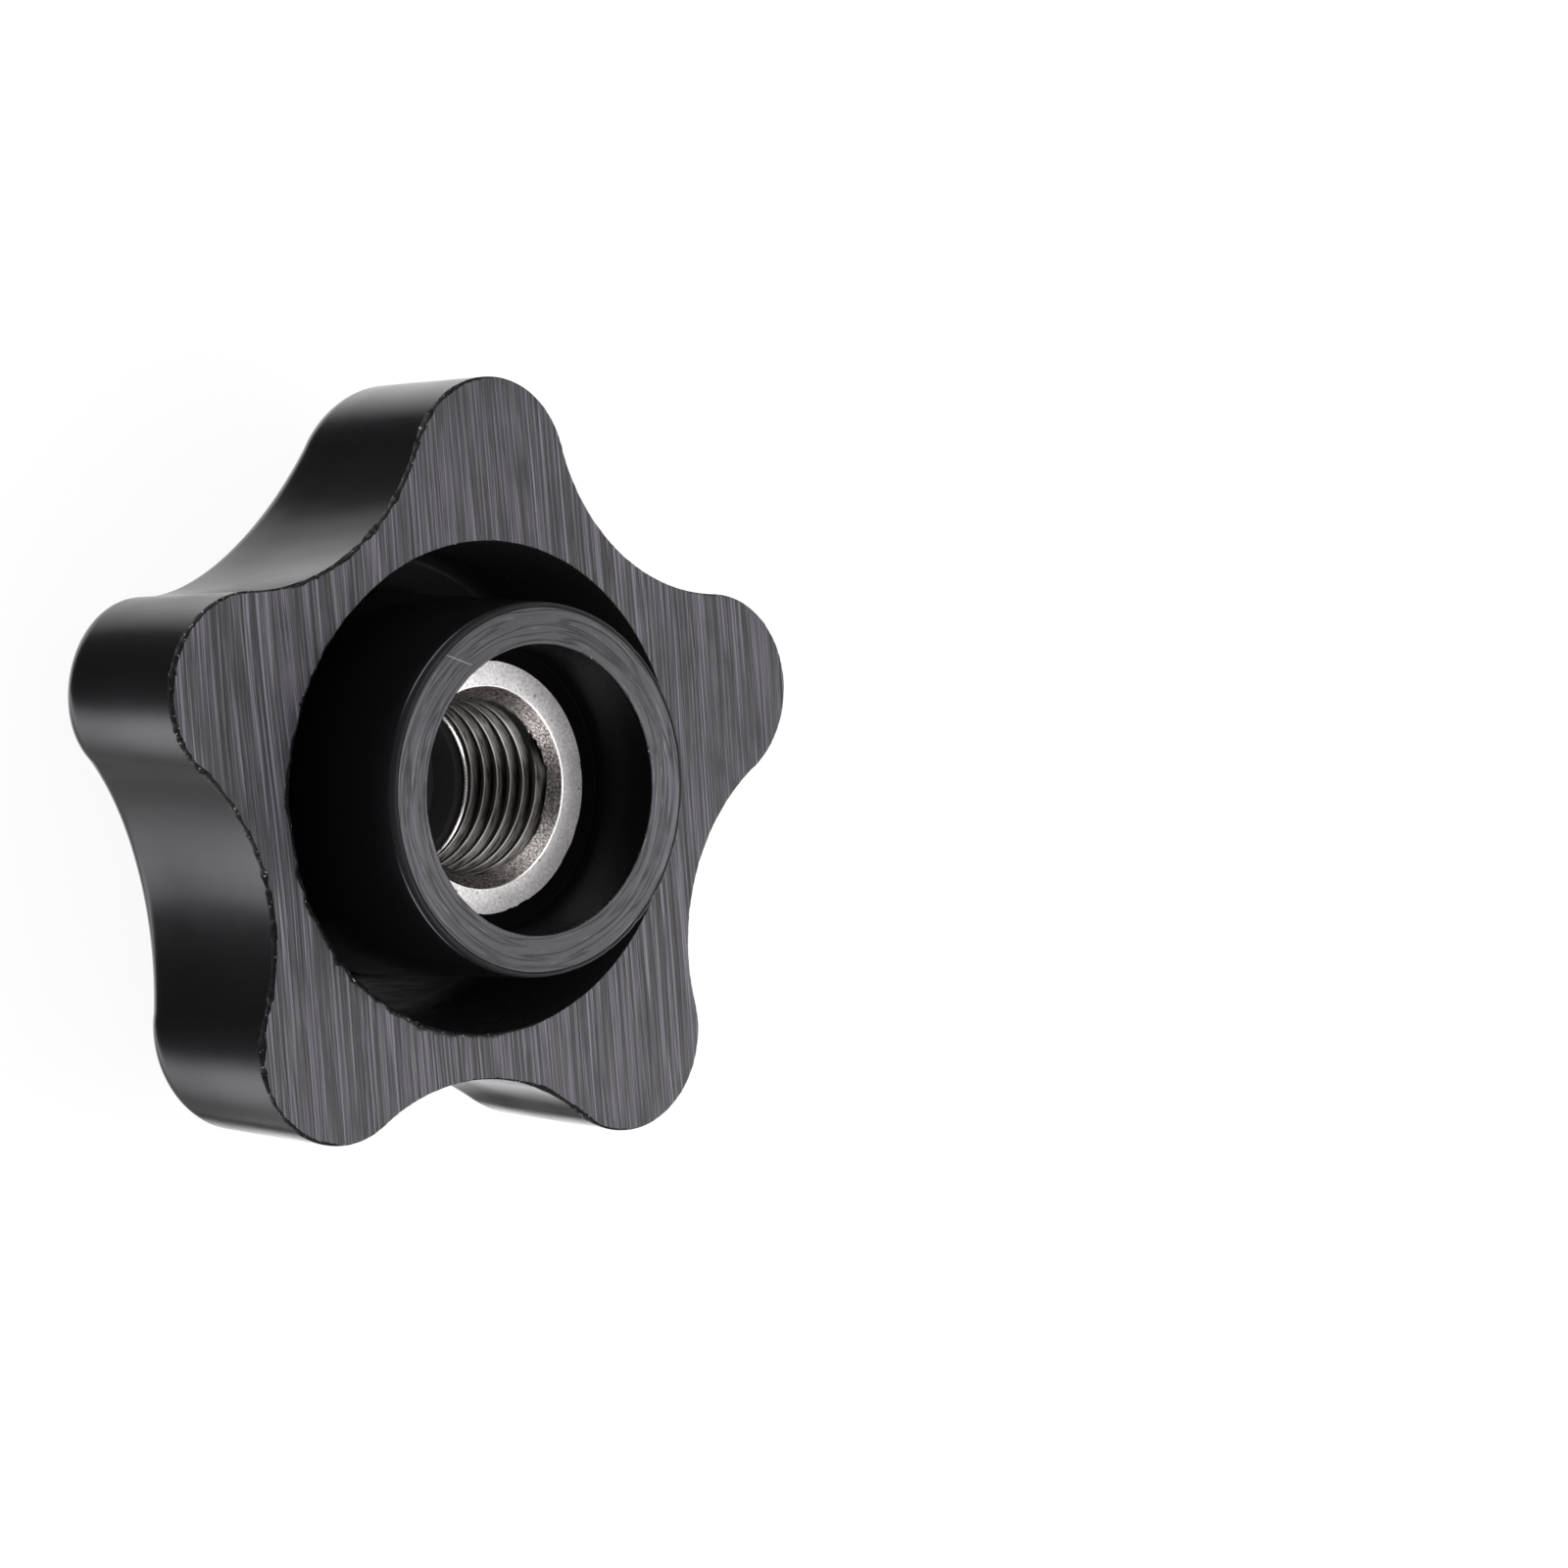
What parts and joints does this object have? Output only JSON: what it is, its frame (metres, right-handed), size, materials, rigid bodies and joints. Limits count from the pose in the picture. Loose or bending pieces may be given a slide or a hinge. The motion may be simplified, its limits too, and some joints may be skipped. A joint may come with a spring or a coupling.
{
  "type": "star knob",
  "caption": "Star knob with rounded lobes, a ring-shaped recess, a raised collar and a moulded-in threaded bush, for tightening by hand.",
  "frame": {"origin": "centre of the flat of the crown, on the axis of the bore", "axes": "+Z along the bore, from the crown out of the mouth of the threaded bush; +Y through the middle of one lobe"},
  "size_m": [0.0482, 0.0464, 0.0219],
  "materials": {
    "black_phenolic": "polished moulded sides, belt-sanded star face, turned collar end",
    "bush_steel": "turned face, cut thread"
  },
  "bodies": {
    "root": {"knob_body": "black_phenolic", "threaded_bush": "bush_steel"}
  },
  "joints": []
}
